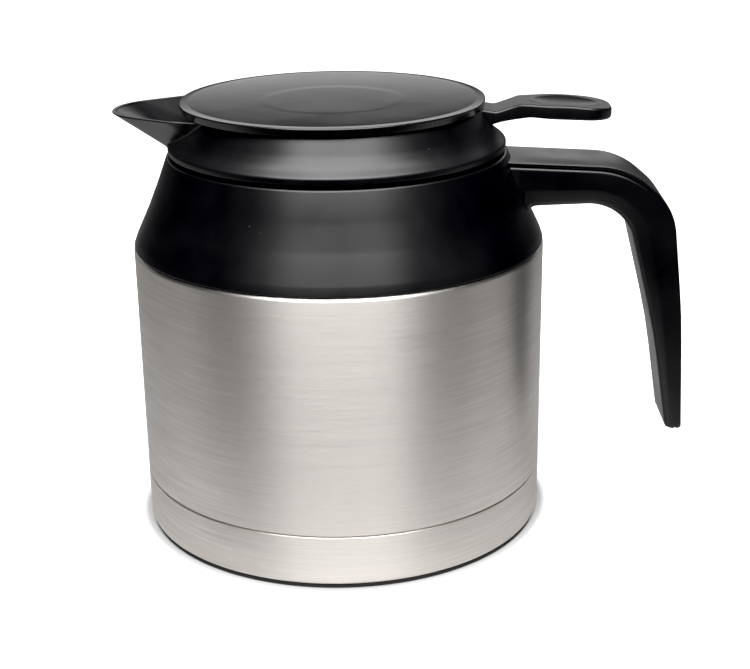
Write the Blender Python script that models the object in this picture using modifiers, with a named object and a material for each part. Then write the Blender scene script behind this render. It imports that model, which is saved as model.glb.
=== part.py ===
"""Thermal coffee carafe: a double-walled steel flask with a plastic collar, a one-sided handle and a
screw lid with a spout, whose disc is tipped open by a thumb lever.

Frame: metres, +Z up, origin at the centre of the foot on the table. The handle points along +X and the
spout along -X, so the XZ plane is the plane of symmetry.
"""

import math

import bmesh
import bpy
from mathutils import Matrix

MM = 0.001
GAP = 0.3 * MM  # clearance between neighbouring pieces
SHEET = 0.8 * MM  # steel sheet

# Steps round the turned pieces: outer ones, those inside, and small ones.
STEPS_OUTER = 36
STEPS_INNER = 24
STEPS_SMALL = 16
ARC_STEP = math.radians(36)  # largest turn between two points of a rounded corner

# Steel body
BODY_R = 75.0 * MM
FOOT_R = 74.3 * MM
FOOT_H = 1.2 * MM
CUP_TOP = 19.6 * MM
SHELL_LOW_R = BODY_R - SHEET - GAP  # the shell steps in to fit inside the base cup
SHELL_LOW_Z = 6.0 * MM
SHELL_TOP = 105.6 * MM
SHELL_CONE_R = 70.8 * MM
NECK_R = 47.6 * MM
NECK_TOP = 134.1 * MM
FLASK_R = 69.0 * MM
FLASK_LOW = 12.0 * MM
FLASK_NECK_R = NECK_R - SHEET - GAP
LIP_R = 48.4 * MM
PORT_R = 3.2 * MM  # evacuation hole in the bottom plate

# Collar
COLLAR_R = 74.9 * MM
COLLAR_LOW = 106.1 * MM
COLLAR_TOP = 138.3 * MM
COLLAR_TOP_R = 61.4 * MM
COLLAR_WALL = 2.2 * MM
MOUTH_R = 54.8 * MM
MOUTH_FLOOR = 124.0 * MM

# Handle
HANDLE_W = 27.0 * MM
HANDLE_TOP = 136.2 * MM
HANDLE_SEAM = 134.7 * MM  # middle of the gap between the two mouldings, at the root
HANDLE_UNDER = 120.2 * MM
HANDLE_OUT = 127.7 * MM
HANDLE_END = 32.2 * MM
SCREW_R = 1.6 * MM
SCREW_HEAD_R = 3.0 * MM
HANDLE_SCREW_Z = (129.5 * MM, 123.0 * MM)

# Lid
RIM_Z = 153.8 * MM
RIM_R = 52.2 * MM
RING_R = 60.9 * MM
RING_LOW = 139.7 * MM
RING_FLOOR = 142.0 * MM
INSERT_R = 44.6 * MM
INSERT_TOP = 140.2 * MM
INSERT_FLOOR = 138.4 * MM
INSERT_LOW = 122.0 * MM
POUR_HOLE_R = 20.0 * MM
SPOUT_TIP = -80.5 * MM
SPOUT_TIP_R = 18.8 * MM
SPOUT_WALL = 1.5 * MM
SPOUT_SHOULDER = (-57.5 * MM, 25.0 * MM)  # where the spout's rim turns in to the ring
SPOUT_BACK = (-44.0 * MM, 27.6 * MM)  # where the rim's line ends, inside the ring
SPOUT_KEEL = (-60.6 * MM, 140.2 * MM)  # lowest point of the spout, where it leaves the ring

# Lever and disc
DISC_R = 55.1 * MM
DISC_X = -1.3 * MM
DISC_LOW = 154.3 * MM
DISC_TOP = 157.3 * MM
HINGE_X = 51.2 * MM
HINGE_Z = 150.0 * MM
PIN_R = 1.2 * MM
PIN_HOLE_R = 1.3 * MM
PIN_HALF = 11.3 * MM
KNUCKLE_R = 2.7 * MM
ARM_HALF = 8.0 * MM
PAD_HALF = 12.1 * MM
PAD_TIP = 98.7 * MM
PLATE_LOW = 151.0 * MM
PLATE_TOP = DISC_LOW - GAP
LEVER_SCREW_X = (17.0 * MM, 35.0 * MM)
LEVER_SCREW_R = 1.3 * MM
STOPPER_R = 25.0 * MM


# ---------------------------------------------------------------- scene and objects

for old in list(bpy.data.objects):
    bpy.data.objects.remove(old, do_unlink=True)

PARTS = bpy.data.collections.new("thermal_carafe")
CUTTERS = bpy.data.collections.new("cutters")
for collection in (PARTS, CUTTERS):
    bpy.context.scene.collection.children.link(collection)


def material(name, colour, roughness, metallic=0.0):
    made = bpy.data.materials.new(name)
    made.use_nodes = True
    shader = made.node_tree.nodes["Principled BSDF"]
    shader.inputs["Base Color"].default_value = (*colour, 1.0)
    shader.inputs["Roughness"].default_value = roughness
    shader.inputs["Metallic"].default_value = metallic
    return made


BRUSHED = material("brushed_steel", (0.60, 0.58, 0.55), 0.32, 1.0)
PLAIN_STEEL = material("plain_steel", (0.55, 0.54, 0.52), 0.25, 1.0)
BLACK = material("black_plastic", (0.012, 0.012, 0.014), 0.42)
SATIN_BLACK = material("satin_black_plastic", (0.020, 0.019, 0.018), 0.48)
RUBBER = material("black_rubber", (0.015, 0.015, 0.015), 0.8)
SILICONE = material("grey_silicone", (0.35, 0.35, 0.34), 0.6)
GLASS_BEAD = material("sealing_solder", (0.45, 0.43, 0.40), 0.4, 1.0)


def add_part(name, mesh, look):
    part = bpy.data.objects.new(name, mesh)
    PARTS.objects.link(part)
    mesh.materials.clear()
    mesh.materials.append(look)
    mesh.shade_smooth()
    mesh.set_sharp_from_angle(angle=math.radians(32))
    return part


def add_cutter(name, mesh):
    cutter = bpy.data.objects.new(name, mesh)
    cutter.hide_render = True
    cutter.display_type = "WIRE"
    CUTTERS.objects.link(cutter)
    return cutter


def combine(part, other, operation):
    step = part.modifiers.new(f"{operation.lower()}_{other.name}", "BOOLEAN")
    step.operation = operation
    step.object = other


# ---------------------------------------------------------------- outlines


def rounded(corners, closed=False):
    """Points of an outline whose corners are (u, v) or (u, v, radius), with an arc at each radius."""
    points = []
    count = len(corners)
    for i, corner in enumerate(corners):
        u, v = corner[:2]
        radius = corner[2] if len(corner) > 2 else 0.0
        at_end = not closed and i in (0, count - 1)
        if radius == 0.0 or at_end:
            points.append((u, v))
            continue
        before = corners[i - 1]
        after = corners[(i + 1) % count]
        into = math.atan2(v - before[1], u - before[0])
        out = math.atan2(after[1] - v, after[0] - u)
        turn = (out - into + math.pi) % math.tau - math.pi
        side = math.copysign(1.0, turn)
        reach = radius * math.tan(abs(turn) / 2)
        centre_u = u - reach * math.cos(into) - side * radius * math.sin(into)
        centre_v = v - reach * math.sin(into) + side * radius * math.cos(into)
        pieces = max(1, math.ceil(abs(turn) / ARC_STEP))
        for k in range(pieces + 1):
            heading = into + turn * k / pieces
            points.append((
                centre_u + side * radius * math.sin(heading),
                centre_v - side * radius * math.cos(heading),
            ))
    return points


def profile_mesh(name, corners, closed):
    """An edge-only mesh in the XZ plane, for a Screw."""
    points = rounded(corners, closed)
    edges = [(i, i + 1) for i in range(len(points) - 1)]
    if closed:
        edges.append((len(points) - 1, 0))
    mesh = bpy.data.meshes.new(name)
    mesh.from_pydata([(r, 0.0, z) for r, z in points], edges, [])
    return mesh


def turn_round(turned, steps, sheet=0.0):
    """Turns an object's profile about its Z axis and, for sheet metal, gives it its thickness inwards."""
    screw = turned.modifiers.new("turn", "SCREW")
    screw.steps = steps
    screw.render_steps = steps
    screw.use_merge_vertices = True
    screw.merge_threshold = 0.00001
    screw.use_smooth_shade = True
    if sheet:
        wall = turned.modifiers.new("wall", "SOLIDIFY")
        wall.thickness = sheet
        wall.offset = -1.0
        wall.use_even_offset = True


def turned_part(name, corners, look, steps, closed=True, sheet=0.0):
    part = bpy.data.objects.new(name, profile_mesh(name, corners, closed))
    PARTS.objects.link(part)
    part.data.materials.append(look)
    turn_round(part, steps, sheet)
    return part


def flat_mesh(name, corners, half_thickness):
    """A closed outline in XY filled and extruded both ways along Z, as a welded mesh."""
    curve = bpy.data.curves.new(name, "CURVE")
    curve.dimensions = "2D"
    curve.fill_mode = "BOTH"
    curve.extrude = half_thickness
    points = rounded(corners, closed=True)
    spline = curve.splines.new("POLY")
    spline.points.add(len(points) - 1)
    for point, (u, v) in zip(spline.points, points):
        point.co = (u, v, 0.0, 1.0)
    spline.use_cyclic_u = True
    holder = bpy.data.objects.new(name, curve)
    bpy.context.scene.collection.objects.link(holder)
    graph = bpy.context.evaluated_depsgraph_get()
    mesh = bpy.data.meshes.new_from_object(holder.evaluated_get(graph))
    bpy.data.objects.remove(holder, do_unlink=True)
    welded = bmesh.new()
    welded.from_mesh(mesh)
    bmesh.ops.remove_doubles(welded, verts=welded.verts, dist=0.000001)
    bmesh.ops.recalc_face_normals(welded, faces=welded.faces)
    welded.to_mesh(mesh)
    welded.free()
    return mesh


def side_mesh(name, corners, half_width):
    """A closed outline in XZ, extruded both ways along Y."""
    mesh = flat_mesh(name, corners, half_width)
    mesh.transform(Matrix.Rotation(math.radians(90), 4, "X"))
    return mesh


def rod_mesh(name, radius, length, axis, centre, steps=STEPS_SMALL):
    """A round rod whose middle is at centre, along X, Y or Z."""
    shape = bmesh.new()
    bmesh.ops.create_cone(
        shape, cap_ends=True, segments=steps, radius1=radius, radius2=radius, depth=length
    )
    turn = {
        "X": Matrix.Rotation(math.radians(90), 4, "Y"),
        "Y": Matrix.Rotation(math.radians(90), 4, "X"),
        "Z": Matrix.Identity(4),
    }[axis]
    shape.transform(Matrix.Translation(centre) @ turn)
    mesh = bpy.data.meshes.new(name)
    shape.to_mesh(mesh)
    shape.free()
    return mesh


def box_mesh(name, low, high):
    shape = bmesh.new()
    bmesh.ops.create_cube(shape, size=1.0)
    for vert in shape.verts:
        for k in range(3):
            vert.co[k] = low[k] if vert.co[k] < 0 else high[k]
    mesh = bpy.data.meshes.new(name)
    shape.to_mesh(mesh)
    shape.free()
    return mesh


def hull_mesh(name, points):
    """The closed skin that is stretched over a set of points."""
    shape = bmesh.new()
    for point in points:
        shape.verts.new(point)
    made = bmesh.ops.convex_hull(shape, input=shape.verts)
    unused = [v for v in made["geom_interior"] if isinstance(v, bmesh.types.BMVert)]
    bmesh.ops.delete(shape, geom=unused, context="VERTS")
    bmesh.ops.recalc_face_normals(shape, faces=shape.faces)
    mesh = bpy.data.meshes.new(name)
    shape.to_mesh(mesh)
    shape.free()
    return mesh


def soften(part, width, segments=2, angle=30):
    bevel = part.modifiers.new("soft_edges", "BEVEL")
    bevel.width = width
    bevel.segments = segments
    bevel.limit_method = "ANGLE"
    bevel.angle_limit = math.radians(angle)


# ---------------------------------------------------------------- steel body


def build_base():
    turned_part(
        "foot_pad",
        [(0, FOOT_H), (FOOT_R, FOOT_H, 0.3 * MM), (FOOT_R, 0, 0.4 * MM), (0, 0)],
        RUBBER, STEPS_OUTER, closed=False,
    )
    cup_low = FOOT_H + GAP
    turned_part(
        "base_cup",
        [(BODY_R, CUP_TOP), (BODY_R, cup_low, 1.6 * MM), (0, cup_low)],
        BRUSHED, STEPS_OUTER, closed=False, sheet=SHEET,
    )


def build_shell():
    turned_part(
        "outer_shell",
        [
            (NECK_R, NECK_TOP),
            (NECK_R, 121.0 * MM, 3 * MM),
            (SHELL_CONE_R, 107.4 * MM),
            (SHELL_CONE_R, SHELL_TOP),
            (BODY_R, SHELL_TOP, 1.3 * MM),
            (BODY_R, CUP_TOP + 1.4 * GAP),
            (SHELL_LOW_R, CUP_TOP + GAP),
            (SHELL_LOW_R, SHELL_LOW_Z),
        ],
        BRUSHED, STEPS_OUTER, closed=False, sheet=SHEET,
    )
    plate_r = SHELL_LOW_R - SHEET - GAP
    plate_z = 9.0 * MM
    turned_part(
        "bottom_plate",
        [(PORT_R, plate_z), (plate_r, plate_z, 1.5 * MM), (plate_r, SHELL_LOW_Z + GAP)],
        PLAIN_STEEL, STEPS_INNER, closed=False, sheet=SHEET,
    )
    seat = plate_z - SHEET - GAP
    stem_r = PORT_R - GAP
    turned_part(
        "vacuum_port_seal",
        [
            (0, plate_z),
            (stem_r, plate_z),
            (stem_r, seat),
            (5.5 * MM, seat),
            (5.5 * MM, seat - 1.0 * MM, 0.4 * MM),
            (0, seat - 1.0 * MM),
        ],
        GLASS_BEAD, STEPS_SMALL, closed=False,
    )
    getter_top = FLASK_LOW - GAP
    turned_part(
        "getter_disc",
        [(0, getter_top), (8 * MM, getter_top), (8 * MM, getter_top - 1 * MM), (0, getter_top - 1 * MM)],
        PLAIN_STEEL, STEPS_SMALL, closed=False,
    )


def build_flask():
    lip_z = NECK_TOP + 0.4 * MM
    turned_part(
        "inner_flask",
        [
            (LIP_R, lip_z),
            (FLASK_NECK_R, lip_z, 0.4 * MM),
            (FLASK_NECK_R, 117.4 * MM, 3 * MM),
            (FLASK_R, 103.6 * MM, 7 * MM),
            (FLASK_R, FLASK_LOW, 10 * MM),
            (0, FLASK_LOW),
        ],
        PLAIN_STEEL, STEPS_INNER, closed=False, sheet=SHEET,
    )


# ---------------------------------------------------------------- collar and handle


def collar_outside(out=0.0):
    """Corners of the collar's outer side, from its top edge down, moved outwards by out."""
    return [
        (COLLAR_TOP_R + out, COLLAR_TOP + out, 0.9 * MM),
        (65.3 * MM + out, 128.0 * MM, 60 * MM),
        (69.0 * MM + out, 119.2 * MM, 30 * MM),
        (73.7 * MM + out, 109.3 * MM, 5 * MM),
        (COLLAR_R + out, COLLAR_LOW),
    ]


def build_collar():
    wall_r = MOUTH_R + 2 * MM
    under_top = COLLAR_TOP - COLLAR_WALL
    flange_low = MOUTH_FLOOR - 1.8 * MM
    inside_low_r = COLLAR_R - COLLAR_WALL
    flange_r = LIP_R + 1.8 * MM
    collar = turned_part(
        "collar",
        [
            (MOUTH_R, COLLAR_TOP),
            *collar_outside(),
            (inside_low_r, COLLAR_LOW),
            (71.6 * MM, 109.0 * MM, 4 * MM),
            (66.9 * MM, 118.7 * MM, 28 * MM),
            (63.2 * MM, 127.5 * MM, 58 * MM),
            (59.5 * MM, under_top, 0.8 * MM),
            (wall_r, under_top, 0.8 * MM),
            (wall_r, flange_low),
            (flange_r, flange_low),
            (flange_r, MOUTH_FLOOR),
            (MOUTH_R, MOUTH_FLOOR),
        ],
        BLACK, STEPS_OUTER,
    )
    # The wedge inside the cone that gives the two handle screws a flat seat.
    seat_x = 60.3 * MM
    wedge = [
        (seat_x, 133.5 * MM),
        (seat_x, 119.7 * MM),
        (67.3 * MM, 119.7 * MM),
        (61.8 * MM, 133.5 * MM),
    ]
    combine(collar, add_cutter("screw_seat", side_mesh("screw_seat", wedge, 8 * MM)), "UNION")

    turned_part(
        "neck_gasket",
        [
            (51.2 * MM, flange_low - GAP),
            (wall_r - 2.2 * MM, flange_low - GAP),
            (wall_r - 2.2 * MM, 117.9 * MM),
            (51.2 * MM, 120.2 * MM),
        ],
        SILICONE, STEPS_INNER,
    )
    nut_low = MOUTH_FLOOR + GAP
    turned_part(
        "retaining_ring",
        [
            (LIP_R + GAP, nut_low + 3.2 * MM),
            (MOUTH_R - 0.4 * MM, nut_low + 3.2 * MM, 0.8 * MM),
            (MOUTH_R - 0.4 * MM, nut_low),
            (LIP_R + GAP, nut_low),
        ],
        BLACK, STEPS_INNER,
    )
    return collar, seat_x


def build_handle(collar, seat_x):
    # Both mouldings are cut back to the collar's cone by one solid a little larger than it.
    clear = add_cutter("collar_clearance", profile_mesh(
        "collar_clearance",
        [(0, COLLAR_TOP + GAP), *collar_outside(GAP), (0, COLLAR_LOW)],
        closed=False,
    ))
    turn_round(clear, 2 * STEPS_OUTER)

    # The main moulding flares out under its root and ends there in a lip.
    root_x = 55 * MM
    lip_z = 114.6 * MM
    body = add_part("handle_body", side_mesh("handle_body", [
        (root_x, HANDLE_SEAM - GAP / 2),
        (102.68 * MM, 132.05 * MM, 25.4 * MM),
        (119.0 * MM, 117.7 * MM, 22.1 * MM),
        (123.3 * MM, 78.0 * MM, 260 * MM),
        (125.0 * MM, HANDLE_END, 1.0 * MM),
        (121.9 * MM, HANDLE_END, 1.0 * MM),
        (116.0 * MM, 70.0 * MM, 250 * MM),
        (103.4 * MM, HANDLE_UNDER, 17 * MM),
        (70.1 * MM, HANDLE_UNDER - 1.4 * MM, 2.3 * MM),
        (72.1 * MM, lip_z),
        (root_x, lip_z),
    ], HANDLE_W / 2), BLACK)
    soften(body, 1.3 * MM)

    cover = add_part("handle_cover", side_mesh("handle_cover", [
        (root_x, HANDLE_TOP),
        (103.3 * MM, 133.6 * MM, 27 * MM),
        (120.8 * MM, 118.7 * MM, 24 * MM),
        (125.5 * MM, 78.0 * MM, 300 * MM),
        (HANDLE_OUT, HANDLE_END + 1.0 * MM, 1.0 * MM),
        (125.6 * MM, HANDLE_END + 1.0 * MM, 0.5 * MM),
        (123.6 * MM, 78.0 * MM, 250 * MM),
        (119.28 * MM, 117.9 * MM, 22.3 * MM),
        (102.78 * MM, 132.35 * MM, 25.6 * MM),
        (root_x, HANDLE_SEAM + GAP / 2),
    ], HANDLE_W / 2), BLACK)
    soften(cover, 0.4 * MM)
    for moulding in (body, cover):
        combine(moulding, clear, "DIFFERENCE")

    tip_x = 78.0 * MM
    for label, z in zip(("upper", "lower"), HANDLE_SCREW_Z):
        middle = (seat_x + tip_x) / 2
        head_x = seat_x - GAP - 1.0 * MM
        screw = add_part(
            f"handle_screw_{label}",
            rod_mesh(f"handle_screw_{label}", SCREW_R, tip_x - head_x, "X", ((head_x + tip_x) / 2, 0, z)),
            PLAIN_STEEL,
        )
        head = rod_mesh(f"head_{label}", SCREW_HEAD_R, 2.0 * MM, "X", (head_x, 0, z))
        combine(screw, add_cutter(f"head_{label}", head), "UNION")
        bore = rod_mesh(
            f"bore_{label}", SCREW_R + GAP, tip_x - seat_x + 4 * MM, "X", (middle, 0, z)
        )
        bore = add_cutter(f"bore_{label}", bore)
        combine(body, bore, "DIFFERENCE")
        combine(collar, bore, "DIFFERENCE")


# ---------------------------------------------------------------- lid


def spout_rim(inset):
    """Corners of the spout's rim seen from above, moved inwards by inset."""
    x, y = SPOUT_SHOULDER
    tip_r = SPOUT_TIP_R
    # The rim's sides meet in a corner that lies beyond the rounded tip. A few rounds settle its place.
    apex = SPOUT_TIP
    for _ in range(12):
        half_angle = math.atan2(y, x - apex)
        apex = SPOUT_TIP - tip_r * (1 / math.sin(half_angle) - 1)
    apex += inset / math.sin(half_angle)
    back_x, back_y = SPOUT_BACK
    return [
        (back_x, -back_y + inset),
        (x + 0.4 * inset, -y + inset, 14 * MM - inset),
        (apex, 0, tip_r - inset),
        (x + 0.4 * inset, y - inset, 14 * MM - inset),
        (back_x, back_y - inset),
    ]


def spout_solid(name, inset, top_z, keel_x, keel_z, keel_half):
    """The spout as one stretched skin from its rim down to the short keel at the ring."""
    rim = rounded(spout_rim(inset))
    points = [(x, y, RIM_Z) for x, y in rim]
    if top_z > RIM_Z:
        points += [(x, y, top_z) for x, y in rim]
    points += [(keel_x, side * keel_half, keel_z) for side in (-1, 1)]
    points += [(SPOUT_BACK[0], side * 13 * MM, keel_z) for side in (-1, 1)]
    return add_cutter(name, hull_mesh(name, points))


def build_ring():
    ring = turned_part(
        "lid_ring",
        [
            (0, RIM_Z),
            (RIM_R, RIM_Z, 0.5 * MM),
            (55.3 * MM, 147.5 * MM, 6 * MM),
            (57.1 * MM, 144.7 * MM, 8 * MM),
            (RING_R, 141.9 * MM, 1.0 * MM),
            (RING_R, RING_LOW, 0.5 * MM),
            (0, RING_LOW),
        ],
        BLACK, STEPS_OUTER, closed=False,
    )
    keel_x, keel_z = SPOUT_KEEL
    outside = spout_solid("spout_outside", 0.0, RIM_Z, keel_x, keel_z, 4 * MM)
    combine(ring, outside, "UNION")
    above_rim = RIM_Z + 4 * MM
    hollow = add_cutter("ring_hollow", profile_mesh("ring_hollow", [
        (0, above_rim),
        (48.6 * MM, above_rim),
        (53.7 * MM, 147.4 * MM, 7 * MM),
        (57.4 * MM, RING_FLOOR, 1.5 * MM),
        (0, RING_FLOOR),
    ], closed=False))
    turn_round(hollow, STEPS_OUTER)
    inside = spout_solid(
        "spout_inside", SPOUT_WALL, above_rim, keel_x + 3.2 * MM, RING_FLOOR + 0.6 * MM, 3 * MM
    )
    floor_low = INSERT_TOP + GAP
    underside = add_cutter("ring_underside", profile_mesh("ring_underside", [
        (0, RING_FLOOR + 3 * MM),
        (47.0 * MM, RING_FLOOR + 3 * MM),
        (47.0 * MM, floor_low),
        (59.3 * MM, floor_low),
        (59.3 * MM, RING_LOW - 4 * MM),
        (0, RING_LOW - 4 * MM),
    ], closed=False))
    turn_round(underside, STEPS_OUTER)
    for cutter in (underside, hollow, inside):
        combine(ring, cutter, "DIFFERENCE")

    ear_in, ear_out = ARM_HALF + 1.2 * MM, 12.6 * MM
    ear_top = RIM_Z - 0.7 * MM
    for label, side in (("left", 1), ("right", -1)):
        ear = side_mesh(f"ear_{label}", [
            (47.4 * MM, ear_top),
            (50.8 * MM, ear_top),
            (53.8 * MM, 146.4 * MM),
            (47.4 * MM, 146.4 * MM),
        ], (ear_out - ear_in) / 2)
        ear.transform(Matrix.Translation((0, side * (ear_in + ear_out) / 2, 0)))
        combine(ring, add_cutter(f"ear_{label}", ear), "UNION")
    slot_half = ARM_HALF + 1.0 * MM
    slot = box_mesh(
        "lever_slot", (45 * MM, -slot_half, 146.6 * MM), (62 * MM, slot_half, RIM_Z + 4 * MM)
    )
    combine(ring, add_cutter("lever_slot", slot), "DIFFERENCE")
    bore = rod_mesh("pin_bore", PIN_HOLE_R, 2 * PIN_HALF + 0.6 * MM, "Y", (HINGE_X, 0, HINGE_Z))
    combine(ring, add_cutter("pin_bore", bore), "DIFFERENCE")


def build_insert():
    turned_part(
        "lid_insert",
        [
            (POUR_HOLE_R, INSERT_TOP),
            (53.8 * MM, INSERT_TOP),
            (53.8 * MM, INSERT_FLOOR),
            (INSERT_R, INSERT_FLOOR),
            (INSERT_R, INSERT_LOW, 0.6 * MM),
            (INSERT_R - 1.8 * MM, INSERT_LOW),
            (INSERT_R - 1.8 * MM, INSERT_FLOOR),
            (POUR_HOLE_R, INSERT_FLOOR),
        ],
        BLACK, STEPS_INNER,
    )
    # The insert turns inside the gasket, so the gap leaves room for the corners of its facets.
    gasket_r = INSERT_R + 2 * GAP
    gasket_low = NECK_TOP + 0.4 * MM + SHEET + GAP
    turned_part(
        "lid_gasket",
        [
            (gasket_r, INSERT_FLOOR - GAP),
            (49.4 * MM, INSERT_FLOOR - GAP),
            (49.4 * MM, gasket_low, 0.8 * MM),
            (gasket_r, gasket_low),
        ],
        SILICONE, STEPS_INNER,
    )
    seal_top = INSERT_LOW - GAP
    seal_low = seal_top - 2.2 * MM
    turned_part(
        "skirt_seal",
        [
            (INSERT_R - 1.6 * MM, seal_top),
            (INSERT_R + 0.7 * MM, seal_top),
            (INSERT_R + 0.7 * MM, seal_low, 0.6 * MM),
            (INSERT_R - 1.6 * MM, seal_low),
        ],
        SILICONE, STEPS_INNER,
    )


# ---------------------------------------------------------------- disc, lever and stopper


def build_disc():
    disc = turned_part(
        "lid_disc",
        [
            (0, DISC_TOP - 1.2 * MM),
            (28 * MM, DISC_TOP - 1.0 * MM),
            (43 * MM, DISC_TOP - 0.55 * MM),
            (50.6 * MM, DISC_TOP),
            (52.0 * MM, DISC_TOP),
            (DISC_R - 0.05 * MM, DISC_TOP - 0.2 * MM, 0.9 * MM),
            (DISC_R - 0.6 * MM, DISC_LOW, 0.4 * MM),
            (0, DISC_LOW),
        ],
        SATIN_BLACK, STEPS_OUTER, closed=False,
    )
    disc.location.x = DISC_X
    return disc


def build_lever(disc):
    back_x = -9.0 * MM
    lever = add_part("thumb_lever", side_mesh("thumb_lever", [
        (back_x, PLATE_TOP),
        (50.0 * MM, PLATE_TOP, 20 * MM),
        (57.0 * MM, 152.8 * MM, 4 * MM),
        (65.5 * MM, 155.6 * MM, 6 * MM),
        (82.0 * MM, 155.3 * MM, 80 * MM),
        (PAD_TIP, 153.8 * MM, 1.4 * MM),
        (PAD_TIP - 1.2 * MM, 149.5 * MM, 2 * MM),
        (84.0 * MM, 150.2 * MM, 60 * MM),
        (69.0 * MM, 150.9 * MM, 8 * MM),
        (58.5 * MM, 149.0 * MM, 8 * MM),
        (53.6 * MM, 147.5 * MM, 1.5 * MM),
        (49.0 * MM, 147.5 * MM, 1.5 * MM),
        (46.5 * MM, PLATE_LOW, 2 * MM),
        (back_x, PLATE_LOW),
    ], 2 * PAD_HALF), SATIN_BLACK)
    outline = flat_mesh("lever_outline", [
        (back_x, -ARM_HALF, 7 * MM),
        (63.0 * MM, -ARM_HALF - 0.3 * MM, 10 * MM),
        (76.0 * MM, -PAD_HALF, 14 * MM),
        (PAD_TIP + 0.5 * MM, -PAD_HALF, 9.5 * MM),
        (PAD_TIP + 0.5 * MM, PAD_HALF, 9.5 * MM),
        (76.0 * MM, PAD_HALF, 14 * MM),
        (63.0 * MM, ARM_HALF + 0.3 * MM, 10 * MM),
        (back_x, ARM_HALF, 7 * MM),
    ], 20 * MM)
    outline.transform(Matrix.Translation((0, 0, PLATE_TOP)))
    combine(lever, add_cutter("lever_outline", outline), "INTERSECT")

    # The thumb's dish is the lower cap of a flattened ball.
    ball = bmesh.new()
    bmesh.ops.create_uvsphere(ball, u_segments=28, v_segments=14, radius=1.0)
    ball.transform(
        Matrix.Translation((82.0 * MM, 0, 156.3 * MM))
        @ Matrix.Diagonal((12.9 * MM, 9.3 * MM, 2.9 * MM, 1.0))
    )
    dish = bpy.data.meshes.new("thumb_dish")
    ball.to_mesh(dish)
    ball.free()
    combine(lever, add_cutter("thumb_dish", dish), "DIFFERENCE")

    knuckle = rod_mesh("knuckle", KNUCKLE_R, 2 * ARM_HALF, "Y", (HINGE_X, 0, HINGE_Z))
    combine(lever, add_cutter("knuckle", knuckle), "UNION")
    bore = rod_mesh("knuckle_bore", PIN_HOLE_R, 3 * ARM_HALF, "Y", (HINGE_X, 0, HINGE_Z))
    combine(lever, add_cutter("knuckle_bore", bore), "DIFFERENCE")

    spigot_r = 3.0 * MM
    spigot_hole = rod_mesh("spigot_hole", spigot_r + GAP, 8 * MM, "Z", (0, 0, PLATE_LOW + 1 * MM))
    combine(lever, add_cutter("spigot_hole", spigot_hole), "DIFFERENCE")

    screw_top = DISC_LOW + 1.0 * MM
    for label, x in zip(("front", "rear"), LEVER_SCREW_X):
        head_z = PLATE_LOW - GAP - 1.0 * MM
        screw = add_part(
            f"lever_screw_{label}",
            rod_mesh(f"lever_screw_{label}", LEVER_SCREW_R, screw_top - head_z, "Z",
                     (x, 0, (head_z + screw_top) / 2)),
            PLAIN_STEEL,
        )
        head = rod_mesh(f"lever_head_{label}", 2 * LEVER_SCREW_R, 2.0 * MM, "Z", (x, 0, head_z))
        combine(screw, add_cutter(f"lever_head_{label}", head), "UNION")
        bore = rod_mesh(
            f"lever_bore_{label}", LEVER_SCREW_R + GAP, screw_top - PLATE_LOW + 2.6 * MM, "Z",
            (x, 0, (screw_top + PLATE_LOW) / 2 - 1.0 * MM),
        )
        bore = add_cutter(f"lever_bore_{label}", bore)
        combine(lever, bore, "DIFFERENCE")
        combine(disc, bore, "DIFFERENCE")

    pin = add_part(
        "hinge_pin",
        rod_mesh("hinge_pin", PIN_R, 2 * PIN_HALF, "Y", (HINGE_X, 0, HINGE_Z)),
        PLAIN_STEEL,
    )
    soften(pin, 0.25 * MM, segments=1)
    return spigot_r


def build_stopper(spigot_r):
    plate_low = INSERT_TOP + 1.7 * MM
    turned_part(
        "stopper",
        [
            (0, PLATE_TOP - GAP),
            (spigot_r, PLATE_TOP - GAP),
            (spigot_r, PLATE_LOW - GAP),
            (6.0 * MM, PLATE_LOW - GAP),
            (6.0 * MM, plate_low + 2.5 * MM, 1.5 * MM),
            (STOPPER_R, plate_low + 2.5 * MM, 1.0 * MM),
            (STOPPER_R, plate_low, 0.5 * MM),
            (0, plate_low),
        ],
        BLACK, STEPS_INNER, closed=False,
    )
    turned_part(
        "stopper_seal",
        [
            (POUR_HOLE_R + 0.8 * MM, plate_low - GAP),
            (STOPPER_R, plate_low - GAP),
            (STOPPER_R, INSERT_TOP + GAP, 0.4 * MM),
            (POUR_HOLE_R + 0.8 * MM, INSERT_TOP + GAP),
        ],
        SILICONE, STEPS_INNER,
    )


build_base()
build_shell()
build_flask()
build_handle(*build_collar())
build_ring()
build_insert()
build_stopper(build_lever(build_disc()))
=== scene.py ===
"""Looks of the thermal carafe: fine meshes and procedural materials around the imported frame."""

import math

import bmesh
import bpy
import numpy as np
from mathutils import Matrix, Vector


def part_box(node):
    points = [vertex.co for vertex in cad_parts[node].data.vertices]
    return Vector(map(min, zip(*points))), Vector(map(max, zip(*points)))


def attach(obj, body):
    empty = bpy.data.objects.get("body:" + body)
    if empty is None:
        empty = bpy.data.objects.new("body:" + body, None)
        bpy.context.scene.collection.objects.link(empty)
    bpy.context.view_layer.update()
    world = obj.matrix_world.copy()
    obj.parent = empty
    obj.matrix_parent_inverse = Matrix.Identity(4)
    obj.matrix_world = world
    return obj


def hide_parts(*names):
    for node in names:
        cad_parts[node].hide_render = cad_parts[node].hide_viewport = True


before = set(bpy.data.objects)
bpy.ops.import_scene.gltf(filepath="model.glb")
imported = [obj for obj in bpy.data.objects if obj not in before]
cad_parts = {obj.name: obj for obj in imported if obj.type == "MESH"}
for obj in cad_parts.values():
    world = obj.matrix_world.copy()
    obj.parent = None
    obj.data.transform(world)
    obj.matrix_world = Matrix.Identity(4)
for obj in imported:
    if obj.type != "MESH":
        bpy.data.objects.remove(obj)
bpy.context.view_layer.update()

MM = 0.001
STEPS = 192  # round the turned pieces
ARC = math.radians(9)  # largest turn between two points of a rounded corner
SHARP = math.radians(38)
SHEET = 0.8 * MM

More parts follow.
